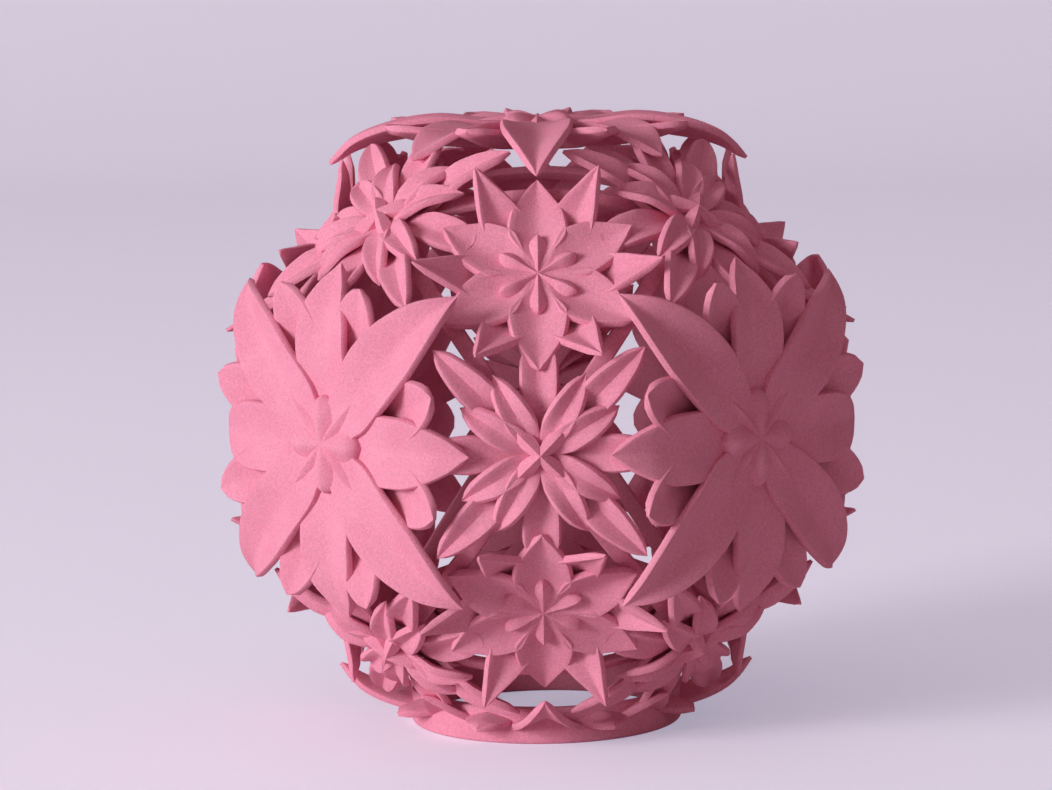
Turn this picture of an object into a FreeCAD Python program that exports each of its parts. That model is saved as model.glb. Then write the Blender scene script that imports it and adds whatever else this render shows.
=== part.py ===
import FreeCAD, Part
import math
import os

from FreeCAD import Matrix, Vector

# Openwork ball of flowers on a plain ring foot, made in one piece.
# The flowers sit where a cube's faces, edges and corners would be: a large flower on each
# face, a star flower on each edge and a six-petal flower on each corner. Flat straps join
# the star flowers into a net that follows the ball.
# The origin is the centre of the ring's underside, with Z up, and the ball's front is a
# star flower on -Y.

SIZES = [
    ("ball_radius", 48.0, "ball centre to the peak of a star flower"),
    ("wall", 1.1, "thickness of every petal, along its flower's axis"),
    ("layer_overlap", 0.3, "how far a flower's lower whorl sinks into the upper one"),
    # Horn: the long curved petal of the large flower
    ("horn_reach", 31.7, "flower axis to the horn's point"),
    ("horn_half_width", 5.2, "horn, fold to rim"),
    ("horn_crest_drop", 3.0, "below the ball radius, at half the reach"),
    ("horn_tip_drop", 8.2, "below the ball radius, at the point"),
    ("horn_rim_rise", 1.6, "rim above fold"),
    # Blade: the broad petal between two horns
    ("blade_reach", 26.5, "flower axis to the blade's point"),
    ("blade_half_width", 5.1, "blade, fold to rim"),
    ("blade_crest_drop", 3.3, "below the ball radius, at half the reach"),
    ("blade_tip_drop", 6.9, "below the ball radius, at the point"),
    ("blade_rim_rise", 1.4, "rim above fold"),
    # Lobe: one of the pair under each blade
    ("lobe_reach", 25.0, "flower axis to the lobe's point"),
    ("lobe_half_width", 3.4, "lobe, fold to rim"),
    ("lobe_crest_drop", 5.5, "below the ball radius, at half the reach"),
    ("lobe_tip_drop", 2.6, "below the ball radius, at the point"),
    ("lobe_rim_rise", 0.4, "rim above fold"),
    ("lobe_turn", 20.5, "degrees from the blade's line to the lobe's"),
    ("large_centre_drop", 2.9, "middle of the horns and blades"),
    ("large_notch", 12.0, "flower axis to the notch beside a horn"),
    ("lobe_notch", 12.5, "flower axis to the notch beside a lobe"),
    # Petals, sepals and stamens of the six-petal flower
    ("petal_reach", 15.9, "flower axis to the petal's point"),
    ("petal_half_width", 4.2, "petal, fold to rim"),
    ("petal_tip_drop", 4.6, "below the ball radius, at the point"),
    ("petal_rim_rise", 1.4, "rim above fold"),
    ("petal_notch", 4.5, "flower axis to the notch beside a petal"),
    ("sepal_reach", 18.0, "flower axis to the sepal's point"),
    ("sepal_half_width", 3.2, "sepal, fold to rim"),
    ("sepal_crest_drop", 6.5, "below the ball radius, at half the reach"),
    ("sepal_tip_drop", 0.3, "below the ball radius, at the point"),
    ("sepal_rim_rise", 0.3, "rim above fold"),
    ("sepal_notch", 6.5, "flower axis to the notch beside a sepal"),
    ("six_centre_drop", 4.8, "middle of the petals"),
    ("stamen_reach", 6.3, "flower axis to the stamen's end"),
    ("stamen_rise", 1.4, "middle of the stamens above the petals"),
    ("stamen_tip_drop", 4.0, "below the ball radius, at the end"),
    ("stamen_notch", 1.8, "flower axis to the notch beside a stamen"),
    # Rays, lances and cross of the star flower
    ("ray_reach", 13.3, "flower axis to the ray's point"),
    ("ray_tip_drop", 2.7, "below the ball radius, at the point"),
    ("ray_turn", 14.5, "degrees from the lance's line to the ray's"),
    ("ray_near_notch", 7.6, "flower axis to the notch over a lance"),
    ("ray_far_notch", 4.2, "flower axis to the notch over a link petal"),
    ("ray_notch_drop", 1.7, "below the ball radius, at the notches"),
    ("star_centre_drop", 1.6, "middle of the rays"),
    ("star_layer", 3.0, "middle of the lances below the middle of the rays"),
    ("star_post_radius", 1.3, "post between the two, axis to corner"),
    ("lance_reach", 21.5, "flower axis to the lance's point"),
    ("lance_tip_drop", 3.1, "below the ball radius, at the point"),
    ("lance_notch", 7.5, "flower axis to the notch beside a lance"),
    ("cross_reach", 4.6, "flower axis to the end of a cross arm"),
    ("cross_tip_drop", 1.1, "below the ball radius, at the arm's end"),
    ("cross_notch", 1.5, "flower axis to the notch between cross arms"),
    # Link petals reach from a star flower under the points of its neighbours
    ("link_half_width", 2.6, "link petal, fold to rim"),
    ("link_rim_rise", 0.5, "rim above fold"),
    ("link_overlap", 4.0, "how far a link petal runs under the point it holds"),
    # Straps and ring foot
    ("strap_width", 2.6, "strap, edge to edge"),
    ("strap_thickness", 1.4, "strap, outside to inside"),
    ("strap_drop", 5.2, "below the ball radius, outer face of a strap"),
    ("ring_diameter", 42.2, "ring foot, outside"),
    ("ring_wall", 1.8, "ring foot, wall"),
    ("ring_height", 5.6, "ring foot, from the surface up"),
]


def make_sheet(doc):
    sheet = doc.addObject("Spreadsheet::Sheet", "sizes")
    for row, (name, value, note) in enumerate(SIZES, 1):
        sheet.set("A%d" % row, name)
        sheet.set("B%d" % row, "%g" % value)
        sheet.set("C%d" % row, note)
        sheet.setAlias("B%d" % row, name)
    doc.recompute()
    return sheet


class Petal:
    """One folded petal: how far it reaches, how its fold line runs and how wide it is.

    leaf lists its stations from base to point as shares of the reach, of the half width
    and of the rim's rise. With no crest the fold line is straight."""

    def __init__(self, reach, half_width, crest, tip, rise, leaf):
        self.reach = reach
        self.half_width = half_width
        self.crest = crest
        self.tip = tip
        self.rise = rise
        self.leaf = leaf

    def fold_height(self, distance, centre):
        # A parabola through the flower's centre, the crest at half the reach, and the tip
        share = distance / self.reach
        crest = (centre + self.tip) / 2 if self.crest is None else self.crest
        from_centre = centre * (1 - share) * (1 - 2 * share)
        return from_centre + crest * 4 * share * (1 - share) + self.tip * share * (2 * share - 1)


def polar(distance, angle, side, height):
    # A point at a distance along a petal's line, moved sideways across it
    turn = math.radians(angle)
    x = distance * math.cos(turn) - side * math.sin(turn)
    y = distance * math.sin(turn) + side * math.cos(turn)
    return Vector(x, y, height)


def half_petal(petal, angle, side, hub, notch):
    # The triangles from the fold line to one rim, and that rim from its notch to the point
    folds = [hub]
    rim = [notch]
    for share, width, rise in petal.leaf:
        distance = share * petal.reach
        height = petal.fold_height(distance, hub.z)
        folds.append(polar(distance, angle, 0, height))
        rim.append(polar(distance, angle, side * width * petal.half_width,
                         height + rise * petal.rise))
    rim.append(polar(petal.reach, angle, 0, petal.tip))
    if petal.crest is None:
        triangles = [(hub, outer, inner) for inner, outer in zip(rim, rim[1:])]
    else:
        triangles = [(folds[-1], rim[-1], rim[-2])]
        for index in range(len(petal.leaf)):
            triangles.append((folds[index], folds[index + 1], rim[index]))
            triangles.append((folds[index + 1], rim[index + 1], rim[index]))
    return triangles, list(zip(rim, rim[1:]))


def whorl(petals, notches, centre, notch_height=None):
    """The upper face of one ring of petals, as triangles, and the edges of its outline.

    petals is a list of (angle, Petal) in turning order, and notches gives the distance
    of the notch that follows each petal. Without a height of their own the notches lie
    as high as the fold lines beside them."""
    hub = Vector(0, 0, centre)
    notch_points = []
    for index, (angle, petal) in enumerate(petals):
        following, neighbour = petals[(index + 1) % len(petals)]
        turn = ((following - angle) % 360) / 2
        distance = notches[index]
        height = notch_height
        if height is None:
            folds = petal.fold_height(distance, centre), neighbour.fold_height(distance, centre)
            height = sum(folds) / 2
        notch_points.append(polar(distance, angle + turn, 0, height))
    top = []
    outline = []
    for index, (angle, petal) in enumerate(petals):
        triangles, edges = half_petal(petal, angle, -1, hub, notch_points[index - 1])
        top += [(a, c, b) for a, b, c in triangles]
        outline += edges
        triangles, edges = half_petal(petal, angle, 1, hub, notch_points[index])
        top += triangles
        outline += [(b, a) for a, b in edges]
    return top, outline


def sheet(petals, notches, centre, depth, notch_height=None):
    # A ring of petals as a folded sheet, thickened downwards along the flower's axis
    top, outline = whorl(petals, notches, centre, notch_height)
    down = Vector(0, 0, -depth)
    faces = [list(points) for points in top]
    faces += [[a + down, c + down, b + down] for a, b, c in top]
    faces += [[a, a + down, b + down, b] for a, b in outline]
    return faceted_solid(faces)


def crown(petals, notches, centre, foot):
    # A ring of ridges whose notches and underside lie inside the petals that it stands on
    top, outline = whorl(petals, notches, centre, foot)
    base = Vector(0, 0, foot)
    faces = [list(points) for points in top]
    faces += [[a, base, b] for a, b in outline]
    return faceted_solid(faces)


def faceted_solid(faces):
    flat = [Part.Face(Part.makePolygon(points + [points[0]])) for points in faces]
    shell = Part.Shell(flat)
    shell.sewShape()
    solid = Part.Solid(shell)
    if solid.Volume < 0:
        solid.reverse()
    return solid


def frame(axis, toward):
    # Placement of a flower: its own Z along axis, its own X towards a neighbour
    axis = Vector(*axis).normalize()
    toward = Vector(*toward)
    x = (toward - axis * toward.dot(axis)).normalize()
    y = axis.cross(x)
    return FreeCAD.Placement(Matrix(x.x, y.x, axis.x, 0,
                                    x.y, y.y, axis.y, 0,
                                    x.z, y.z, axis.z, 0,
                                    0, 0, 0, 1))


def neighbour_point(petal, centre, overlap, between):
    # A spot on a neighbour's fold line, seen from the star flower: distance and height
    distance = petal.reach - overlap
    height = petal.fold_height(distance, centre)
    angle = between - math.atan2(distance, height)
    radius = math.hypot(distance, height)
    return radius * math.sin(angle), radius * math.cos(angle)


def add_feature(doc, name, shape, placement=None):
    feature = doc.addObject("Part::Feature", name)
    feature.Shape = shape
    if placement is not None:
        feature.Placement = placement
    return feature


def add_fuse(doc, name, pieces):
    fuse = doc.addObject("Part::MultiFuse", name)
    fuse.Shapes = pieces
    return fuse


def strap_corners(axis, near, half_width):
    """Corners where the straps of one star flower meet, in turning order round its axis.

    near gives each neighbour's number and direction. Each corner is stored with the
    number of the strap that it lies to the left of, as seen from the flower."""
    along = {number: (other - axis * other.dot(axis)).normalize()
             for number, other in near.items()}
    first = next(iter(along.values()))
    across = axis.cross(first)
    order = sorted(along, key=lambda number: math.atan2(along[number].dot(across),
                                                        along[number].dot(first)))
    corners = []
    for number, following in zip(order, order[1:] + order[:1]):
        half_turn = along[number].getAngle(along[following]) / 2
        middle = (along[number] + along[following]).normalize()
        corners.append((number, middle * (half_width / math.sin(half_turn))))
    return corners


def strap_net(axes, radius, width, thickness, pieces=2):
    """Flat straps between neighbouring star flowers, in straight lengths, as one net."""
    span = math.radians(60)
    corners = []
    for axis in axes:
        near = {number: other for number, other in enumerate(axes)
                if abs(axis.getAngle(other) - span) < 0.01}
        corners.append(strap_corners(axis, near, width / 2))
    left = [dict(ends) for ends in corners]
    right = [{number: ends[place - 1][1] for place, (number, corner) in enumerate(ends)}
             for ends in corners]

    def section(out, to_left, to_right):
        high = out * radius
        low = out * (radius - thickness)
        return [high + to_left, high + to_right, low + to_right, low + to_left]

    faces = []
    for index, axis in enumerate(axes):
        offsets = [corner for number, corner in corners[index]]
        faces.append([axis * radius + corner for corner in offsets])
        faces.append([axis * (radius - thickness) + corner for corner in reversed(offsets)])
        for number in left[index]:
            if number < index:
                continue
            other = axes[number]
            side = axis.cross(other).normalize() * (width / 2)
            sections = [section(axis, left[index][number], right[index][number])]
            for step in range(1, pieces):
                turn = span * step / pieces
                out = (axis * math.sin(span - turn) + other * math.sin(turn)) / math.sin(span)
                sections.append(section(out, side, -side))
            sections.append(section(other, right[number][index], left[number][index]))
            for ring, following in zip(sections, sections[1:]):
                for corner in range(4):
                    after = (corner + 1) % 4
                    faces.append([ring[corner], ring[after], following[after]])
                    faces.append([ring[corner], following[after], following[corner]])
    return faceted_solid(faces)


def turned(angle, x, y, z):
    # A direction turned about Z
    turn = math.radians(angle)
    return (x * math.cos(turn) - y * math.sin(turn), x * math.sin(turn) + y * math.cos(turn), z)


doc = FreeCAD.newDocument("flower_ball")
sizes = make_sheet(doc)
radius = sizes.ball_radius
wall = sizes.wall


def below(name):
    # Height of a point that the sheet gives as a drop below the ball radius
    return radius - sizes.get(name)


# Angles between the axes of neighbouring flowers
STAR_TO_LARGE = math.radians(45)
STAR_TO_SIX = math.atan(math.sqrt(0.5))

# A lower whorl starts from inside the middle of the upper one
layer_drop = wall - sizes.layer_overlap

# Large flower: horns and blades over lobes
horn = Petal(sizes.horn_reach, sizes.horn_half_width, below("horn_crest_drop"),
             below("horn_tip_drop"), sizes.horn_rim_rise, [(0.52, 1.0, 1.0), (0.84, 0.66, 0.75)])
blade = Petal(sizes.blade_reach, sizes.blade_half_width, below("blade_crest_drop"),
              below("blade_tip_drop"), sizes.blade_rim_rise, [(0.66, 1.0, 1.0)])
lobe = Petal(sizes.lobe_reach, sizes.lobe_half_width, below("lobe_crest_drop"),
             below("lobe_tip_drop"), sizes.lobe_rim_rise, [(0.62, 1.0, 1.0)])
large_centre = below("large_centre_drop")
upper = [(angle, blade if angle % 90 == 0 else horn) for angle in range(0, 360, 45)]
lower = []
for angle in range(0, 360, 90):
    lower.append((angle - sizes.lobe_turn, lobe))
    lower.append((angle + sizes.lobe_turn, lobe))
large_upper = add_feature(doc, "large_upper",
                          sheet(upper, [sizes.large_notch] * 8, large_centre, wall))
large_lower = add_feature(doc, "large_lower",
                          sheet(lower, [sizes.lobe_notch] * 8, large_centre - layer_drop, wall))
large_flower = add_fuse(doc, "large_flower", [large_upper, large_lower])

# Six-petal flower: stamens on petals over sepals
petal = Petal(sizes.petal_reach, sizes.petal_half_width, None, below("petal_tip_drop"),
              sizes.petal_rim_rise, [(0.5, 1.0, 1.0)])
sepal = Petal(sizes.sepal_reach, sizes.sepal_half_width, below("sepal_crest_drop"),
              below("sepal_tip_drop"), sizes.sepal_rim_rise, [(0.5, 1.0, 1.0)])
stamen = Petal(sizes.stamen_reach, 0, None, below("stamen_tip_drop"), 0, [])
six_centre = below("six_centre_drop")
petals = [(angle, petal) for angle in range(30, 390, 60)]
sepals = [(angle, sepal) for angle in range(0, 360, 60)]
stamens = [(angle, stamen) for angle in range(30, 390, 60)]
six_upper = add_feature(doc, "six_upper", sheet(petals, [sizes.petal_notch] * 6, six_centre, wall))
six_lower = add_feature(doc, "six_lower",
                        sheet(sepals, [sizes.sepal_notch] * 6, six_centre - layer_drop, wall))
six_middle = add_feature(doc, "six_middle",
                         crown(stamens, [sizes.stamen_notch] * 6, six_centre + sizes.stamen_rise,
                               six_centre - wall / 2))
six_flower = add_fuse(doc, "six_flower", [six_upper, six_lower, six_middle])

# Star flower: a cross on rays over lances, and a link petal towards each neighbour
ray = Petal(sizes.ray_reach, 0, None, below("ray_tip_drop"), 0, [])
lance = Petal(sizes.lance_reach, 0, None, below("lance_tip_drop"), 0, [])
cross = Petal(sizes.cross_reach, 0, None, below("cross_tip_drop"), 0, [])
links = []
for neighbour, centre, between, leaf in (
        (blade, large_centre, STAR_TO_LARGE, [(0.72, 1.0, 1.0)]),
        (petal, six_centre, STAR_TO_SIX, [])):
    reach, height = neighbour_point(neighbour, centre, sizes.link_overlap, between)
    links.append(Petal(reach, sizes.link_half_width, None, height - wall / 3,
                       sizes.link_rim_rise, leaf))
star_centre = below("star_centre_drop")
rays = []
for angle in range(45, 405, 90):
    rays.append((angle - sizes.ray_turn, ray))
    rays.append((angle + sizes.ray_turn, ray))
under = []
for angle in range(0, 360, 90):
    under.append((angle, links[(angle // 90) % 2]))
    under.append((angle + 45, lance))
crosses = [(angle, cross) for angle in range(45, 405, 90)]
star_upper = add_feature(doc, "star_upper",
                         sheet(rays, [sizes.ray_near_notch, sizes.ray_far_notch] * 4,
                               star_centre, wall, below("ray_notch_drop")))
star_lower = add_feature(doc, "star_lower",
                         sheet(under, [sizes.lance_notch] * 8, star_centre - sizes.star_layer,
                               wall))
star_middle = add_feature(doc, "star_middle",
                          crown(crosses, [sizes.cross_notch] * 4, radius, star_centre - wall / 2))
star_post = doc.addObject("Part::Prism", "star_post")
star_post.Polygon = 4
star_post.setExpression("Circumradius", "sizes.star_post_radius")
star_post.setExpression("Height", "sizes.star_layer")
star_post.setExpression("Placement.Base.z", "sizes.ball_radius - sizes.star_centre_drop"
                        " - sizes.star_layer - sizes.wall / 2")
star_flower = add_fuse(doc, "star_flower", [star_upper, star_lower, star_middle, star_post])
doc.recompute()

# Places of the flowers round the ball
large_places = [frame(turned(angle, 0, -1, 0), turned(angle, 1, 0, 0))
                for angle in range(45, 405, 90)]
large_places.append(frame((0, 0, 1), (1, -1, 0)))
bottom_place = frame((0, 0, -1), (1, -1, 0))
star_axes = [turned(angle, 0, -1, 0) for angle in range(0, 360, 90)]
star_places = [frame(turned(angle, 0, -1, 0), turned(angle, 1, 0, 0))
               for angle in range(0, 360, 90)]
six_places = []
for up in (1, -1):
    for angle in range(0, 360, 90):
        axis = turned(angle + 45, 0, -1, up)
        star_axes.append(axis)
        star_places.append(frame(axis, (0, 0, 1)))
        six_places.append(frame(turned(angle, 0, -math.sqrt(2), up), turned(angle, 1, 0, 0)))

pieces = []
for source, places in ((large_flower, large_places), (star_flower, star_places),
                       (six_flower, six_places)):
    for number, place in enumerate(places, 1):
        pieces.append(add_feature(doc, "%s_%d" % (source.Name, number), source.Shape, place))

# Straps between neighbouring star flowers
straps = strap_net([Vector(*axis).normalize() for axis in star_axes], below("strap_drop"),
                   sizes.strap_width, sizes.strap_thickness)
pieces.append(add_feature(doc, "straps", straps))

# Ring foot. The lowest flower stops inside its wall, so that the ring is open
ring_outside = doc.addObject("Part::Cylinder", "ring_outside")
ring_outside.setExpression("Radius", "sizes.ring_diameter / 2")
ring_outside.setExpression("Height", "sizes.ring_height")
ring_outside.setExpression("Placement.Base.z", "-sizes.ball_radius")
ring_bore = doc.addObject("Part::Cylinder", "ring_bore")
ring_bore.setExpression("Radius", "sizes.ring_diameter / 2 - sizes.ring_wall")
ring_bore.setExpression("Height", "sizes.ring_height")
ring_bore.setExpression("Placement.Base.z", "-sizes.ball_radius")
ring_foot = doc.addObject("Part::Cut", "ring_foot")
ring_foot.Base = ring_outside
ring_foot.Tool = ring_bore
pieces.append(ring_foot)
lowest_whole = add_feature(doc, "lowest_whole", large_flower.Shape, bottom_place)
lowest_middle = doc.addObject("Part::Cylinder", "lowest_middle")
lowest_middle.setExpression("Radius", "sizes.ring_diameter / 2 - sizes.ring_wall / 2")
lowest_middle.setExpression("Height", "sizes.ball_radius")
lowest_middle.setExpression("Placement.Base.z", "-sizes.ball_radius")
lowest_flower = doc.addObject("Part::Cut", "lowest_flower")
lowest_flower.Base = lowest_whole
lowest_flower.Tool = lowest_middle
pieces.append(lowest_flower)

flower_ball = add_fuse(doc, "flower_ball", pieces)
flower_ball.Label = "flower_ball"
flower_ball.setExpression("Placement.Base.z", "sizes.ball_radius")
doc.recompute()

for item in doc.Objects:
    for state in ("Invalid", "Error"):
        if state in item.State:
            raise RuntimeError("%s is %s" % (item.Name, state))
shape = flower_ball.Shape
if shape.isNull() or not shape.isValid():
    raise RuntimeError("flower_ball has no valid shape")
if len(shape.Solids) != 1:
    raise RuntimeError("flower_ball is in %d solids" % len(shape.Solids))
os.makedirs("parts", exist_ok=True)
shape.exportStep("parts/flower_ball.step")
box = shape.BoundBox
print("flower_ball %.1f x %.1f x %.1f mm, %.0f cubic mm, %d faces"
      % (box.XLength, box.YLength, box.ZLength, shape.Volume, len(shape.Faces)))
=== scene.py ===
import math
import bpy
import numpy as np
from mathutils import Matrix


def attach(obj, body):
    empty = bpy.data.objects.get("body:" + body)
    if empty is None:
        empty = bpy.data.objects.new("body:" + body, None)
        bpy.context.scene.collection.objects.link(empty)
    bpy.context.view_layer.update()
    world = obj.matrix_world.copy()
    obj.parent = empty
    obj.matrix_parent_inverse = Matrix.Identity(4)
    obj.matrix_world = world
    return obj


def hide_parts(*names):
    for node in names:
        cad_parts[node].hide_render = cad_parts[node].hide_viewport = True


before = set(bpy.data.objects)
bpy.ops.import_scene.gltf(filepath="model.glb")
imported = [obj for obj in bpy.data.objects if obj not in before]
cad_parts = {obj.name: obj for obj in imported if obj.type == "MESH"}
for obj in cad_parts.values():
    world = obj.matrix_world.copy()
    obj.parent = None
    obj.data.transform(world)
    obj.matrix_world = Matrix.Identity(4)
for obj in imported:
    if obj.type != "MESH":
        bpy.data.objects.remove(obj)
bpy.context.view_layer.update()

# Openwork flower ball of dyed, laser-sintered nylon on a plain ring foot.
# Lengths are millimetres until addPiece turns them to metres. The ball's centre is the
# origin until then too, and addPiece lifts it by the ball's radius.

ball = {
    "radius": 48.0,          # ball centre to the peak of a star flower
    "wall": 1.15,            # sintered walls
    "rimReach": 0.30,        # how far a rim bulges past its petal's edge, in walls
    "rimSquareness": 0.72,   # 1 is a half round rim, less is squarer
    "foldSoftness": 0.10,    # radius of the valley along a fold, in half widths
    "tipWall": 0.40,         # share of the wall that is left at a point
    "tipWidth": 1.8,         # half width over which the wall grows by its full thickness
    "narrowRim": 0.5,        # most of the half width that a narrow petal's rim may take
    "rimSteps": 6,           # points round a rim, both faces included
    "sharpAngle": 38,        # degrees; a sharper edge isn't shaded smooth
}

# Turns are the angles of a ring's petals about their flower's axis. A petal's stations run
# from that axis to its point. Each gives the distance from the axis, the fold's drop below
# the ball radius, the half width and the rim's rise.
hornPetals = {
    "turns": (45, 135, 225, 315),
    "rows": 36, "columns": 13,
    "stations": ((0.0, 2.9, 1.0, 0.0), (2.9, 2.6, 2.4, 0.0), (8.2, 2.5, 4.5, 0.2),
                 (12.0, 2.7, 5.0, 0.9), (15.8, 3.2, 5.2, 1.6), (20.2, 4.0, 5.0, 1.9),
                 (25.0, 4.9, 4.0, 1.6), (28.5, 6.0, 2.7, 1.15), (30.7, 7.3, 1.4, 0.6),
                 (32.3, 8.7, 0.1, 0.0)),
}
bladePetals = {
    "turns": (0, 90, 180, 270),
    "rows": 30, "columns": 13,
    "stations": ((0.0, 3.7, 1.0, 0.0), (2.9, 3.6, 2.2, 0.0), (8.1, 3.4, 3.8, 0.25),
                 (12.5, 3.2, 5.2, 1.0), (16.6, 3.6, 5.1, 1.4), (20.2, 4.2, 4.3, 1.35),
                 (23.8, 5.5, 2.6, 0.7), (26.5, 6.9, 0.1, 0.0)),
}
lobePetals = {
    "turns": tuple(side + turn for turn in (0, 90, 180, 270) for side in (-20.5, 20.5)),
    "rows": 24, "columns": 11,
    "stations": ((0.0, 4.2, 0.8, 0.0), (4.8, 5.6, 1.9, 0.0), (10.6, 5.3, 3.6, 1.0),
                 (16.3, 4.8, 4.4, 1.5), (20.2, 3.9, 3.7, 1.1), (22.8, 3.1, 2.6, 0.6),
                 (24.3, 2.7, 1.4, 0.3), (25.1, 2.5, 0.2, 0.0)),
}
# The last number in a ridge's stations is how far its sides fall below its top line
crownRidges = {
    "turns": (0, 90, 180, 270),
    "rows": 18, "columns": 11, "depth": 1.4, "softness": 0.45,
    "stations": ((0.0, 2.0, 0.8, 0.5), (2.2, 1.5, 1.9, 1.3), (4.2, 1.2, 2.6, 1.7),
                 (5.6, 1.35, 2.5, 1.6), (6.7, 1.9, 1.6, 1.1), (7.3, 2.6, 0.3, 0.3)),
}
crownSpikes = {
    "turns": (45, 135, 225, 315),
    "rows": 14, "columns": 9, "depth": 0.8, "softness": 0.2,
    "stations": ((0.0, 2.0, 0.4, 0.2), (3.0, 1.8, 0.9, 0.7), (6.0, 1.9, 0.8, 0.6),
                 (9.2, 2.5, 0.1, 0.1)),
}
crossRidges = {
    "turns": (45, 135, 225, 315),
    "rows": 12, "columns": 9, "depth": 1.0, "softness": 0.08,
    "stations": ((0.0, 0.0, 0.5, 0.5), (1.4, 0.2, 1.05, 0.95), (2.9, 0.5, 1.25, 1.25),
                 (4.1, 0.8, 0.85, 0.95), (4.8, 1.5, 0.1, 0.3)),
}
rayPetals = {
    "turns": (30.5, 59.5, 120.5, 149.5, 210.5, 239.5, 300.5, 329.5),
    "rows": 17, "columns": 9,
    "stations": ((0.0, 2.5, 0.6, 0.0), (1.9, 2.15, 1.45, 0.0), (4.8, 1.6, 2.05, 0.6),
                 (7.7, 1.55, 1.9, 0.95), (10.6, 2.15, 1.35, 0.75), (12.25, 2.8, 0.65, 0.4),
                 (13.35, 3.35, 0.1, 0.0)),
}
lancePetals = {
    "turns": (45, 135, 225, 315),
    "rows": 22, "columns": 9,
    "stations": ((0.0, 3.4, 0.6, 0.0), (3.85, 3.85, 1.45, 0.0), (9.6, 3.1, 2.4, 0.7),
                 (13.45, 2.65, 2.3, 1.05), (16.3, 2.65, 1.9, 0.85), (19.2, 2.9, 1.2, 0.5),
                 (21.55, 3.35, 0.1, 0.0)),
}
linksToSix = {
    "turns": (90, 270),
    "rows": 14, "columns": 9,
    "stations": ((0.0, 3.3, 0.6, 0.0), (2.4, 3.35, 1.45, 0.0), (5.75, 3.35, 1.9, 0.5),
                 (9.6, 3.85, 2.6, 0.95), (12.95, 5.05, 2.6, 0.95), (15.85, 6.7, 1.9, 0.5)),
}
linksToLarge = {
    "turns": (0, 180),
    "rows": 14, "columns": 9,
    "stations": ((0.0, 3.3, 0.6, 0.0), (2.4, 3.35, 1.45, 0.0), (5.75, 3.1, 1.9, 0.5),
                 (9.6, 2.65, 2.6, 0.95), (12.95, 2.1, 2.4, 0.8), (14.4, 1.9, 1.7, 0.5)),
}
sixPetals = {
    "turns": (30, 90, 150, 210, 270, 330),
    "rows": 24, "columns": 13, "softness": 0.35,
    "stations": ((0.0, 4.5, 0.5, 0.0), (1.45, 4.55, 0.95, 0.0), (3.85, 4.9, 2.5, 0.6),
                 (6.75, 5.2, 4.25, 1.45), (10.0, 5.2, 3.8, 1.25), (13.05, 4.95, 2.15, 0.6),
                 (15.9, 4.5, 0.1, 0.0)),
}
sepals = {
    "turns": (0, 60, 120, 180, 240, 300),
    "rows": 22, "columns": 11,
    "stations": ((0.0, 5.4, 0.8, 0.0), (3.85, 6.7, 2.9, 0.0), (8.65, 6.0, 3.6, 0.95),
                 (12.0, 4.3, 2.65, 0.95), (15.35, 2.15, 1.2, 0.5), (18.05, 0.25, 0.1, 0.0)),
}
stamens = {
    "turns": (30, 90, 150, 210, 270, 330),
    "rows": 14, "columns": 9, "depth": 0.9, "softness": 0.22,
    "stations": ((0.0, 4.3, 0.35, 0.3), (2.4, 3.95, 0.8, 0.9), (4.3, 3.6, 1.35, 1.2),
                 (5.4, 3.6, 1.15, 1.1), (6.2, 3.9, 0.5, 0.6), (6.5, 4.3, 0.1, 0.2)),
}


def smoothThrough(stations, count):
    # A cubic Hermite curve through the stations, read evenly along the fold line:
    # near * (1 + 2t)(1 - t)^2 + far * t^2 (3 - 2t) + length * t(1 - t) * (slope * (1 - t)
    # - next slope * t). Each slope is the harmonic mean of the two beside it, or zero where
    # they change sign, so the curve adds no bump of its own.
    points = np.array(stations, float)
    steps = np.diff(points, axis=0)
    lengths = np.hypot(steps[:, 0], steps[:, 1])[:, None]
    slopes = steps / lengths
    before, after = slopes[:-1], slopes[1:]
    together = before * after > 0
    mean = 2 * before * after / np.where(together, before + after, 1)
    tangents = np.vstack([slopes[:1], np.where(together, mean, 0), slopes[-1:]])
    knots = np.append(0, np.cumsum(lengths))
    place = np.linspace(0, knots[-1], count)
    piece = np.clip(np.searchsorted(knots, place, side="right") - 1, 0, len(lengths) - 1)
    share = ((place - knots[piece]) / lengths[piece, 0])[:, None]
    near, far = points[piece], points[piece + 1]
    return (near * (1 + 2 * share) * (1 - share) ** 2 + far * share ** 2 * (3 - 2 * share)
            + lengths[piece] * (tangents[piece] * share * (1 - share) ** 2
                                - tangents[piece + 1] * share ** 2 * (1 - share)))


def unit(vectors):
    return vectors / np.maximum(np.linalg.norm(vectors, axis=-1, keepdims=True), 1e-9)


def softValley(across, softness):
    # A hyperbola with a rounded middle: 0 on the fold line and 1 at both rims
    rounded = np.sqrt(across ** 2 + softness ** 2) - softness
    return rounded / (math.hypot(1, softness) - softness)


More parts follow.
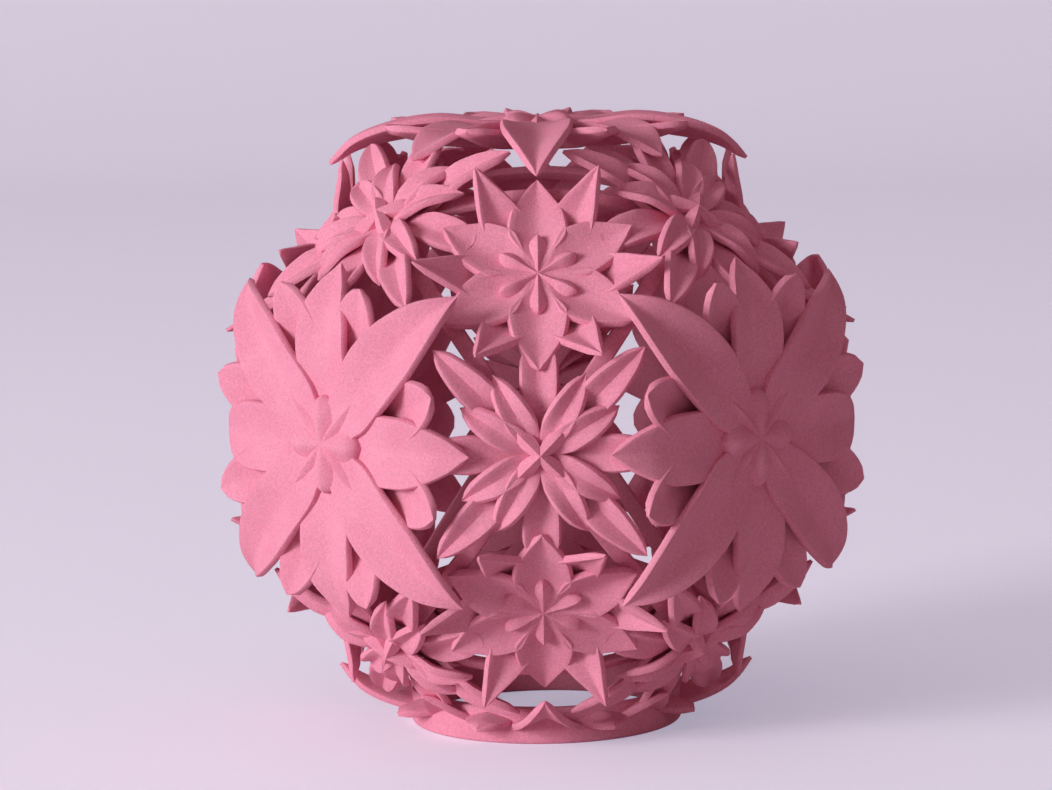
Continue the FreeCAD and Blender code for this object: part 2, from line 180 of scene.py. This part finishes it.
def petalShell(petal):
    # Grid of one petal along X: rows run from axis to point, columns round its section.
    # The outer face is fold + rise * softValley(v) for v from -1 to 1 across the petal.
    # The inner face lies one wall below it along the normal, thinner near the point, and
    # a squared half circle joins the two at each rim.
    out, drop, half, rise = smoothThrough(petal["stations"], petal["rows"]).T
    wall = ball["wall"] * np.minimum(1, ball["tipWall"] + half / ball["tipWidth"])
    bulge = np.minimum(wall * ball["rimReach"], half * ball["narrowRim"])
    half = (half - bulge)[:, None]
    across = np.linspace(-1, 1, petal["columns"])
    valley = softValley(across, petal.get("softness", ball["foldSoftness"]))
    outer = np.stack([out[:, None] + 0 * across, half * across,
                      (ball["radius"] - drop)[:, None] + rise[:, None] * valley], -1)
    sideways = unit(np.gradient(outer, axis=1))
    normal = unit(np.cross(np.gradient(outer, axis=0), sideways))
    thick, bulge = wall[:, None, None], bulge[:, None, None]
    inner = outer - normal * thick
    rounding = np.linspace(0, math.pi, ball["rimSteps"])[1:-1][None, :, None]
    level = np.sign(np.cos(rounding)) * np.abs(np.cos(rounding)) ** ball["rimSquareness"]
    past = np.abs(np.sin(rounding)) ** ball["rimSquareness"]
    middle = (outer + inner) / 2
    rims = []
    for edge, away in ((slice(-1, None), 1), (slice(0, 1), -1)):
        rims.append(middle[:, edge] + normal[:, edge] * level * thick / 2
                    + sideways[:, edge] * away * past * bulge)
    return np.concatenate([outer, rims[0], inner[:, ::-1], rims[1][:, ::-1]], axis=1)


def ridgeShell(ridge):
    # The same for a solid ridge: its sides fall from the top line by fall * softValley(v),
    # and its underside is flat and hidden in the petals below
    out, drop, half, fall = (part[:, None] for part in
                             smoothThrough(ridge["stations"], ridge["rows"]).T)
    across = np.linspace(-1, 1, ridge["columns"])
    top = ball["radius"] - drop
    upper = np.stack([out + 0 * across, half * across,
                      top - fall * softValley(across, ridge["softness"])], -1)
    under = upper[:, ::-1].copy()
    under[..., 2] = top - fall - ridge["depth"]
    return np.concatenate([upper, under], axis=1)


def closedTube(grid):
    # Vertices and faces of a grid whose rows are closed loops, with each end closed to a point
    rows, columns = grid.shape[:2]
    ends = np.stack([grid[0].mean(0), grid[-1].mean(0)])
    number = np.arange(rows * columns).reshape(rows, columns)
    following = np.roll(number, -1, axis=1)
    quads = np.stack([number[:-1], number[1:], following[1:], following[:-1]], -1)
    first, last = rows * columns, rows * columns + 1
    base = np.stack([number[0], following[0], np.full(columns, first)], -1)
    point = np.stack([following[-1], number[-1], np.full(columns, last)], -1)
    vertices = np.vstack([grid.reshape(-1, 3), ends])
    return vertices, quads.reshape(-1, 4).tolist() + base.tolist() + point.tolist()


def turnedAboutAxis(vertices, degrees):
    turn = math.radians(degrees)
    cosine, sine = math.cos(turn), math.sin(turn)
    return vertices @ np.array([[cosine, sine, 0], [-sine, cosine, 0], [0, 0, 1]])


def joined(shapes):
    # Several lists of vertices and faces as one
    vertices, faces, count = [], [], 0
    for points, polygons in shapes:
        vertices.append(points)
        faces += [[corner + count for corner in polygon] for polygon in polygons]
        count += len(points)
    return np.vstack(vertices), faces


def flowerShape(*rings):
    shapes = []
    for ring in rings:
        makeShell = ridgeShell if "depth" in ring else petalShell
        vertices, faces = closedTube(makeShell(ring))
        shapes += [(turnedAboutAxis(vertices, turn), faces) for turn in ring["turns"]]
    return joined(shapes)


def placeFrame(axis, toward):
    # Rows are the directions of a flower's own X, Y and Z
    axis = unit(np.array(axis, float))
    toward = np.array(toward, float)
    side = unit(toward - axis * (toward @ axis))
    return np.stack([side, np.cross(axis, side), axis])


def direction(azimuth, rise=0.0):
    # Azimuth 0 is the front, on -Y. rise is the height for each unit of level reach
    turn = math.radians(azimuth)
    return math.sin(turn), -math.cos(turn), rise


# A large flower on each face of a cube, a star flower on each edge, a six-petal flower on
# each corner. A flower's X points to its neighbour.
quarterTurns = (0, 90, 180, 270)
largeFrames = [placeFrame(direction(45 + turn), direction(135 + turn)) for turn in quarterTurns]
largeFrames.append(placeFrame((0, 0, 1), (1, -1, 0)))
bottomFrame = placeFrame((0, 0, -1), (1, -1, 0))
starFrames = [placeFrame(direction(turn), direction(90 + turn)) for turn in quarterTurns]
sixFrames = []
for up in (1, -1):
    for turn in quarterTurns:
        starFrames.append(placeFrame(direction(45 + turn, up), (0, 0, 1)))
        sixFrames.append(placeFrame(direction(turn, up * math.sqrt(0.5)), direction(90 + turn)))


def addPiece(name, shape):
    vertices, faces = shape
    points = (vertices + [0, 0, ball["radius"]]) / 1000
    mesh = bpy.data.meshes.new(name)
    mesh.from_pydata(points.tolist(), [], faces)
    mesh.validate()
    mesh.polygons.foreach_set("use_smooth", np.ones(len(mesh.polygons), bool))
    piece = bpy.data.objects.new(name, mesh)
    bpy.context.scene.collection.objects.link(piece)
    mesh.set_sharp_from_angle(angle=math.radians(ball["sharpAngle"]))
    return piece


def placedFlowers(shape, frames):
    vertices, faces = shape
    return joined([(vertices @ axes, faces) for axes in frames])


largeShape = flowerShape(hornPetals, bladePetals, lobePetals, crownRidges, crownSpikes)
starShape = flowerShape(crossRidges, rayPetals, lancePetals, linksToSix, linksToLarge)
sixShape = flowerShape(stamens, sixPetals, sepals)
largeFlowers = addPiece("largeFlowers", placedFlowers(largeShape, largeFrames))
starFlowers = addPiece("starFlowers", placedFlowers(starShape, starFrames))
sixFlowers = addPiece("sixPetalFlowers", placedFlowers(sixShape, sixFrames))
print("flowers placed")

# Flat bands that join neighbouring star flowers, 60 degrees apart
straps = {
    "width": 2.5, "thickness": 1.3, "corner": 0.35,
    "drop": 3.9,             # outer face below the ball radius
    "rows": 30, "cornerSteps": 4,
}


def roundedSection(width, height, corner, steps):
    # Points of a rectangle with rounded corners, in turning order
    angles = np.linspace(0, math.pi / 2, steps)
    points = []
    for quarter, (sx, sy) in enumerate(((1, 1), (-1, 1), (-1, -1), (1, -1))):
        turn = angles + quarter * math.pi / 2
        points.append(np.stack([sx * (width / 2 - corner) + corner * np.cos(turn),
                                sy * (height / 2 - corner) + corner * np.sin(turn)], -1))
    return np.vstack(points)


def strapShape(start, end):
    # The section is carried along the great circle from one star flower to the next
    span = math.acos(start @ end)
    turn = np.linspace(0, span, straps["rows"])[:, None]
    outward = (start * np.sin(span - turn) + end * np.sin(turn)) / math.sin(span)
    side = unit(np.cross(start, end))
    section = roundedSection(straps["width"], straps["thickness"], straps["corner"],
                             straps["cornerSteps"])
    middle = ball["radius"] - straps["drop"] - straps["thickness"] / 2
    grid = (outward[:, None] * (middle + section[None, :, 1:])
            - side[None, None] * section[None, :, :1])
    return closedTube(grid)


starAxes = [axes[2] for axes in starFrames]
neighbourCosine = math.cos(math.radians(60))
strapShapes = [strapShape(start, end) for number, start in enumerate(starAxes)
               for end in starAxes[number + 1:]
               if math.isclose(start @ end, neighbourCosine, abs_tol=0.01)]
strapNet = addPiece("strapNet", joined(strapShapes))
print(len(strapShapes), "straps laid")

ringFoot = {
    "outside": 42.2, "wall": 1.8, "height": 5.6, "corner": 0.5,
    "segments": 180, "cornerSteps": 6,
}


def ringShape():
    # A rectangle with rounded corners, turned about the Z axis
    section = roundedSection(ringFoot["wall"], ringFoot["height"], ringFoot["corner"],
                             ringFoot["cornerSteps"])
    section = section + [(ringFoot["outside"] - ringFoot["wall"]) / 2,
                         ringFoot["height"] / 2 - ball["radius"]]
    turn = np.linspace(0, 2 * math.pi, ringFoot["segments"], endpoint=False)[:, None]
    grid = np.stack([np.cos(turn) * section[:, 0], np.sin(turn) * section[:, 0],
                     0 * turn + section[:, 1]], -1)
    number = np.arange(grid.shape[0] * grid.shape[1]).reshape(grid.shape[:2])
    onward = np.roll(number, -1, axis=0)
    quads = np.stack([number, onward, np.roll(onward, -1, axis=1),
                      np.roll(number, -1, axis=1)], -1)
    return grid.reshape(-1, 3), quads.reshape(-1, 4).tolist()


foot = addPiece("ringFoot", ringShape())


def cylinderCutter(radius, low, high, segments):
    turn = np.linspace(0, 2 * math.pi, segments, endpoint=False)[:, None]
    reach = np.array([radius, radius])[None, :]
    grid = np.stack([np.cos(turn) * reach, np.sin(turn) * reach,
                     0 * turn + np.array([low, high])], -1).transpose(1, 0, 2)
    return closedTube(grid[::-1])


# The lowest flower is cut away inside the middle of the ring foot's wall, so the ring is
# open. The cutter reaches past its underside.
lowestFlower = addPiece("lowestFlower", placedFlowers(largeShape, [bottomFrame]))
opening = {"radius": ringFoot["outside"] / 2 - ringFoot["wall"] / 2, "past": 5, "segments": 120}
cutter = addPiece("cutter", cylinderCutter(opening["radius"], -ball["radius"] - opening["past"],
                                           0, opening["segments"]))
cut = lowestFlower.modifiers.new("open", "BOOLEAN")
cut.operation = "DIFFERENCE"
cut.solver = "MANIFOLD"
cut.object = cutter
bpy.context.view_layer.update()
evaluated = lowestFlower.evaluated_get(bpy.context.evaluated_depsgraph_get())
opened = bpy.data.meshes.new_from_object(evaluated)
lowestFlower.modifiers.clear()
lowestFlower.data = opened
bpy.data.objects.remove(cutter)
print("ring foot and lowest flower done,", len(opened.polygons), "faces")


def linear(hexColour):
    # The linear red, green, blue and alpha of an sRGB colour
    channels = [int(hexColour[place:place + 2], 16) / 255 for place in (1, 3, 5)]
    return [c / 12.92 if c <= 0.04045 else ((c + 0.055) / 1.055) ** 2.4
            for c in channels] + [1]


def addNode(tree, kind, settings=None, links=None):
    # Settings go to the node's own properties, or to its inputs by name or number
    node = tree.nodes.new(kind)
    for name, value in (settings or {}).items():
        if isinstance(name, str) and hasattr(node, name):
            setattr(node, name, value)
        else:
            node.inputs[name].default_value = value
    for name, source in (links or {}).items():
        tree.links.new(source, node.inputs[name])
    return node


nylon = {
    "palePink": "#EE9CB6",
    "deepPink": "#E790AC",
    "grain": 0.15,           # sintered grain, mm
    "grainDepth": 0.06,      # mm
    "darkest": 0.86,         # of the dye, on the grains that took it unevenly
    "brightest": 1.12,
    "mottle": 7.0,           # slow change of the dye, mm
}


def sinteredNylon():
    # Laser-sintered polyamide, dyed pink: matt and grainy like fine sandpaper, with no
    # shine, and speckled where the powder grains took the dye unevenly
    material = bpy.data.materials.new("dyed laser-sintered nylon")
    material.use_nodes = True
    tree = material.node_tree
    tree.nodes.clear()
    place = addNode(tree, "ShaderNodeTexCoord").outputs["Object"]
    grain = addNode(tree, "ShaderNodeTexNoise",
                    {"Scale": 1000 / (nylon["grain"] * 2), "Detail": 2.0, "Roughness": 0.6},
                    {"Vector": place})
    mottle = addNode(tree, "ShaderNodeTexNoise",
                     {"Scale": 1000 / nylon["mottle"], "Detail": 3.0}, {"Vector": place})
    dye = addNode(tree, "ShaderNodeMix", {"data_type": "RGBA"})
    dye.inputs[6].default_value = linear(nylon["deepPink"])
    dye.inputs[7].default_value = linear(nylon["palePink"])
    spread = addNode(tree, "ShaderNodeMapRange", {"From Min": 0.25, "From Max": 0.75},
                     {"Value": mottle.outputs["Fac"]})
    tree.links.new(spread.outputs["Result"], dye.inputs[0])
    speckle = addNode(tree, "ShaderNodeMapRange",
                      {"From Min": 0.3, "From Max": 0.7,
                       "To Min": nylon["darkest"], "To Max": nylon["brightest"]},
                      {"Value": grain.outputs["Fac"]})
    speckled = addNode(tree, "ShaderNodeMix", {"data_type": "RGBA", "blend_type": "MULTIPLY"})
    speckled.inputs[0].default_value = 1.0
    tree.links.new(dye.outputs[2], speckled.inputs[6])
    tree.links.new(speckle.outputs["Result"], speckled.inputs[7])
    bump = addNode(tree, "ShaderNodeBump",
                   {"Strength": 0.9, "Distance": nylon["grainDepth"] / 1000},
                   {"Height": grain.outputs["Fac"]})
    shader = addNode(tree, "ShaderNodeBsdfPrincipled",
                     {"Roughness": 0.85, "IOR": 1.45, "Specular IOR Level": 0.3},
                     {"Base Color": speckled.outputs[2], "Normal": bump.outputs["Normal"]})
    addNode(tree, "ShaderNodeOutputMaterial", None, {"Surface": shader.outputs["BSDF"]})
    return material


nylonMaterial = sinteredNylon()
pieces = (largeFlowers, starFlowers, sixFlowers, lowestFlower, strapNet, foot)
for piece in pieces:
    piece.data.materials.clear()
    piece.data.materials.append(nylonMaterial)
    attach(piece, "root")
    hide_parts("flower_ball")
print("nylon put on", len(pieces), "pieces")

studio = {
    "floor": "#E6DDE4",
    "glow": "#C8CFE6",       # what a camera ray sees on top of the lit paper
    "glowStrength": 0.52,
    "sky": "#FFD2D6",
    "skyStrength": 0.25,
    "size": 6.0,             # metres of floor each way
    "bendStart": 1.1,        # metres behind the ball
    "bendRadius": 0.6,
    "bendSteps": 24,
}


def backdropMaterial():
    # Matt pale paper. The glow reaches the camera alone, so it doesn't light the ball
    material = bpy.data.materials.new("matt paper backdrop")
    material.use_nodes = True
    tree = material.node_tree
    tree.nodes.clear()
    paper = addNode(tree, "ShaderNodeBsdfDiffuse", {"Color": linear(studio["floor"])})
    seen = addNode(tree, "ShaderNodeLightPath").outputs["Is Camera Ray"]
    strength = addNode(tree, "ShaderNodeMath",
                       {"operation": "MULTIPLY", 1: studio["glowStrength"]}, {0: seen})
    glow = addNode(tree, "ShaderNodeEmission", {"Color": linear(studio["glow"])},
                   {"Strength": strength.outputs[0]})
    both = addNode(tree, "ShaderNodeAddShader", None,
                   {0: paper.outputs[0], 1: glow.outputs[0]})
    addNode(tree, "ShaderNodeOutputMaterial", None, {"Surface": both.outputs[0]})
    return material


def addStudio():
    # A floor that rises into a backdrop in one quarter circle
    size, back, radius = studio["size"], studio["bendStart"], studio["bendRadius"]
    bend = np.linspace(0, math.pi / 2, studio["bendSteps"])
    along = np.concatenate([[-size], back + radius * np.sin(bend), [back + radius]])
    height = np.concatenate([[0], radius * (1 - np.cos(bend)), [size]])
    vertices = [(x, y, z) for x in (-size, size) for y, z in zip(along, height)]
    count = len(along)
    faces = [(i, i + count, i + count + 1, i + 1) for i in range(count - 1)]
    mesh = bpy.data.meshes.new("studioFloor")
    mesh.from_pydata(vertices, [], faces)
    mesh.polygons.foreach_set("use_smooth", np.ones(len(faces), bool))
    floor = bpy.data.objects.new("studioFloor", mesh)
    bpy.context.scene.collection.objects.link(floor)
    mesh.materials.append(backdropMaterial())


addStudio()

# The key light comes low from the left, so the right side of the ball is in shade. Places
# and sizes are in metres, powers in watts.
lamps = {
    "key": {"place": (-1.25, -0.82, 0.40), "size": 0.6, "power": 19.5, "colour": "#FFFFFF"},
    "top": {"place": (-0.4, -0.2, 1.5), "size": 1.2, "power": 1.5, "colour": "#FFFFFF"},
}


def addPlaced(name, data, side, upward, backward, place):
    # Lamps and cameras look along their own -Z
    holder = bpy.data.objects.new(name, data)
    bpy.context.scene.collection.objects.link(holder)
    matrix = np.eye(4)
    matrix[:3] = np.stack([side, upward, backward, place], -1)
    holder.matrix_world = Matrix(matrix.tolist())
    return holder


def addLamp(name, lamp):
    light = bpy.data.lights.new(name, "AREA")
    light.size = lamp["size"]
    light.energy = lamp["power"]
    light.color = linear(lamp["colour"])[:3]
    place = np.array(lamp["place"])
    aim = unit(np.array([0, 0, ball["radius"] / 1000]) - place)
    side = unit(np.cross(aim, (0, 0, 1)))
    addPlaced(name, light, side, np.cross(side, aim), -aim, place)


for name, lamp in lamps.items():
    addLamp(name, lamp)

world = bpy.data.worlds.new("studio air")
bpy.context.scene.world = world
world.use_nodes = True
air = world.node_tree.nodes["Background"]
air.inputs["Color"].default_value = linear(studio["sky"])
air.inputs["Strength"].default_value = studio["skyStrength"]

# Found from the places of the flowers' centres in the photograph. Angles are in degrees
# and the distance, to the ball's centre, is in metres.
cameraView = {
    "distance": 0.6138, "elevation": 7.58, "azimuth": 0.4, "roll": -0.92,
    "focalPixels": 3952.5, "imageWidth": 1052, "imageHeight": 790,
    "centreX": 541.9, "centreY": 412.4,    # where the ball's centre shows in the picture
    "sensorWidth": 36,
}


def addCamera():
    view = cameraView
    camera = bpy.data.cameras.new("camera")
    camera.sensor_width = view["sensorWidth"]
    camera.lens = view["focalPixels"] / view["imageWidth"] * camera.sensor_width
    camera.shift_x = (view["imageWidth"] / 2 - view["centreX"]) / view["imageWidth"]
    camera.shift_y = (view["centreY"] - view["imageHeight"] / 2) / view["imageWidth"]
    azimuth, elevation, roll = (math.radians(view[key])
                                for key in ("azimuth", "elevation", "roll"))
    backward = np.array([math.sin(azimuth) * math.cos(elevation),
                         -math.cos(azimuth) * math.cos(elevation), math.sin(elevation)])
    side = unit(np.cross((0, 0, 1), backward))
    upward = np.cross(backward, side)
    turnedSide = side * math.cos(roll) + upward * math.sin(roll)
    turnedUp = upward * math.cos(roll) - side * math.sin(roll)
    place = backward * view["distance"] + [0, 0, ball["radius"] / 1000]
    bpy.context.scene.camera = addPlaced("camera", camera, turnedSide, turnedUp, backward, place)


addCamera()
bpy.context.scene.view_settings.view_transform = "Standard"
